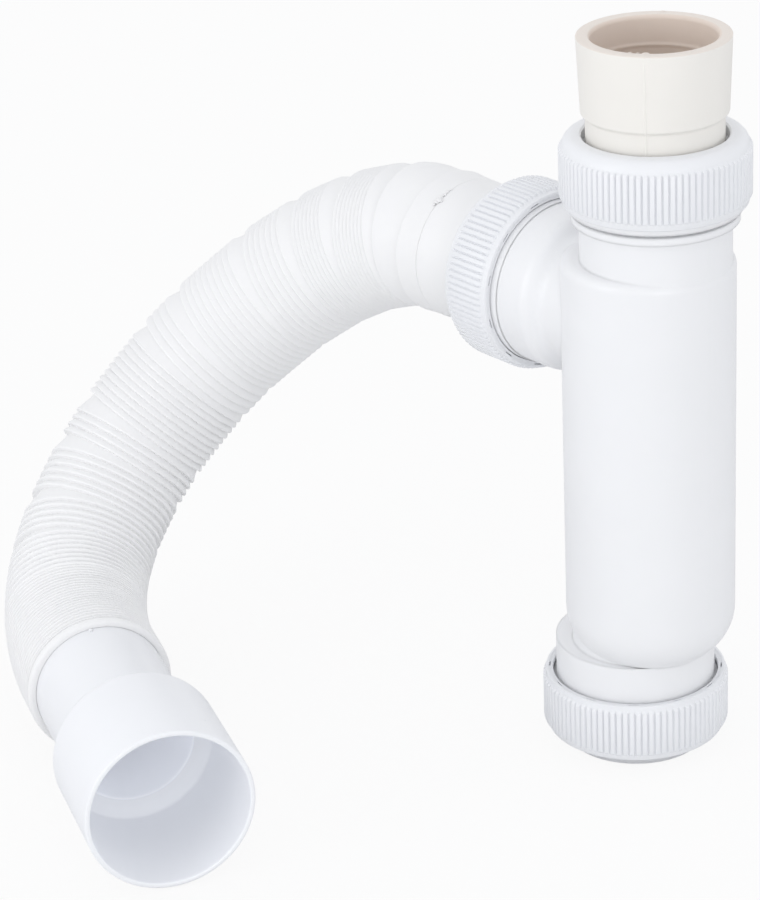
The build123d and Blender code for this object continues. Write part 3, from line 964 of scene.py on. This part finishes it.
STUDIO_COLOUR = (0.96, 0.97, 1.0, 1.0)
STUDIO_STRENGTH = 0.92
PAPER = (0.8, 0.8, 0.8, 1.0)
PAPER_GLOW = 0.9
FLOOR_HALF = 6.0
FLOOR_Z = -0.6 * MM
LAMP_AIM = Vector((-0.06, -0.06, 0.1))
CAMERA_TURN = math.radians(51.45)
CAMERA_TILT = math.radians(24.37)
CAMERA_ROLL = math.radians(-2.58)
CAMERA_AIM = Vector((0, 0, 3.0 * MM))
CAMERA_LEFT = 78.45 * MM
CAMERA_UP = 83.13 * MM
CAMERA_BACK = 981.05 * MM
SENSOR_MM = 36.0
FOCAL_PX = 3200.0
IMAGE_PX = 900.0


class TRAP_OT_stage(bpy.types.Operator):
    """Floor, soft studio light and the photograph's camera"""

    bl_idname = "trap.stage"
    bl_label = "Stage"

    def execute(self, context):
        scene = context.scene
        scene.view_settings.view_transform = "Standard"
        scene.world = self.world()
        self.lamp(scene, "key_light", (-0.26, -1.38, 0.52), 0.9, 3.3)
        self.lamp(scene, "fill_light", (1.24, -0.63, 0.2), 0.8, 3.2)
        self.floor(scene)
        self.camera(scene)
        return {"FINISHED"}

    def world(self):
        """Soft light all round, and plain white where the camera or a reflection sees it."""
        world = bpy.data.worlds.new("studio")
        world.use_nodes = True
        world.node_tree.nodes.clear()
        t = Tree(world.node_tree)
        ray = t.node("ShaderNodeLightPath")
        seen = t.maths("MAXIMUM", ray.out("Is Camera Ray"), ray.out("Is Glossy Ray"))
        seen = t.maths("MAXIMUM", seen, ray.out("Is Transmission Ray"))
        light = t.node("ShaderNodeBackground", None,
                       {"Color": STUDIO_COLOUR, "Strength": STUDIO_STRENGTH})
        white = t.node("ShaderNodeBackground", None, {"Color": WHITE})
        mix = t.node("ShaderNodeMixShader", None, {0: seen, 1: light, 2: white})
        t.node("ShaderNodeOutputWorld", None, {"Surface": mix})
        return world

    def lamp(self, scene, name, place, size, watts):
        """A round soft lamp that faces the trap."""
        data = bpy.data.lights.new(name, "AREA")
        data.shape = "DISK"
        data.size = size
        data.energy = watts
        thing = bpy.data.objects.new(name, data)
        scene.collection.objects.link(thing)
        thing.location = place
        thing.rotation_euler = (LAMP_AIM - Vector(place)).to_track_quat("-Z", "Y").to_euler()

    def floor(self, scene):
        """Pale paper under the trap, nearly white to the camera."""
        mesh = bpy.data.meshes.new("floor")
        work = bmesh.new()
        bmesh.ops.create_grid(work, x_segments=1, y_segments=1, size=FLOOR_HALF)
        work.to_mesh(mesh)
        work.free()
        mesh.transform(Matrix.Translation((0, 0, FLOOR_Z)))
        floor = bpy.data.objects.new("floor", mesh)
        scene.collection.objects.link(floor)
        s = Shader("studio_floor")
        ray = s.node("ShaderNodeLightPath")
        paper = s.node("ShaderNodeBsdfDiffuse", None, {"Color": PAPER})
        glow = s.node("ShaderNodeEmission", None, {"Color": WHITE, "Strength": 1.0})
        mix = s.node("ShaderNodeMixShader", None, {0: ray * PAPER_GLOW, 1: paper, 2: glow})
        mesh.materials.append(s.finish(mix))

    def camera(self, scene):
        """The photograph's camera."""
        right = Vector((math.cos(CAMERA_TURN), math.sin(CAMERA_TURN), 0))
        level = Vector((math.sin(CAMERA_TURN), -math.cos(CAMERA_TURN), 0))
        back = level * math.cos(CAMERA_TILT) + Vector((0, 0, math.sin(CAMERA_TILT)))
        up = back.cross(right)
        across = right * math.cos(CAMERA_ROLL) + up * math.sin(CAMERA_ROLL)
        above = up * math.cos(CAMERA_ROLL) - right * math.sin(CAMERA_ROLL)
        eye = CAMERA_AIM - across * CAMERA_LEFT + above * CAMERA_UP + back * CAMERA_BACK
        data = bpy.data.cameras.new("camera")
        data.sensor_width = SENSOR_MM
        data.lens = FOCAL_PX * SENSOR_MM / IMAGE_PX
        data.clip_end = 20.0
        camera = bpy.data.objects.new("camera", data)
        scene.collection.objects.link(camera)
        camera.matrix_world = Matrix((
            (across.x, above.x, back.x, eye.x),
            (across.y, above.y, back.y, eye.y),
            (across.z, above.z, back.z, eye.z),
            (0, 0, 0, 1)))
        scene.camera = camera


class TRAP_PT_panel(bpy.types.Panel):
    """Lists the trap's pieces in the sidebar."""

    bl_idname = "TRAP_PT_panel"
    bl_label = "Waste trap"
    bl_space_type = "VIEW_3D"
    bl_region_type = "UI"
    bl_category = "Waste trap"

    def draw(self, context):
        for group in (context.scene.trap_sizes, context.scene.trap_colours):
            for name in group.__annotations__:
                self.layout.prop(group, name)
        for operator in OPERATORS:
            self.layout.operator(operator.bl_idname)


OPERATORS = (
    TRAP_OT_body, TRAP_OT_nuts, TRAP_OT_cuff, TRAP_OT_spigot, TRAP_OT_hose, TRAP_OT_connector,
    TRAP_OT_stage)
CLASSES = (TrapSizes, TrapColours) + OPERATORS + (TRAP_PT_panel,)


def register():
    for cls in CLASSES:
        bpy.utils.register_class(cls)
    bpy.types.Scene.trap_sizes = bpy.props.PointerProperty(type=TrapSizes)
    bpy.types.Scene.trap_colours = bpy.props.PointerProperty(type=TrapColours)


def unregister():
    del bpy.types.Scene.trap_colours
    del bpy.types.Scene.trap_sizes
    for cls in reversed(CLASSES):
        bpy.utils.unregister_class(cls)


def main():
    register()
    bpy.ops.trap.body()
    bpy.ops.trap.nuts()
    bpy.ops.trap.cuff()
    bpy.ops.trap.spigot()
    bpy.ops.trap.hose()
    bpy.ops.trap.connector()
    bpy.ops.trap.stage()


if __name__ == "__main__":
    main()
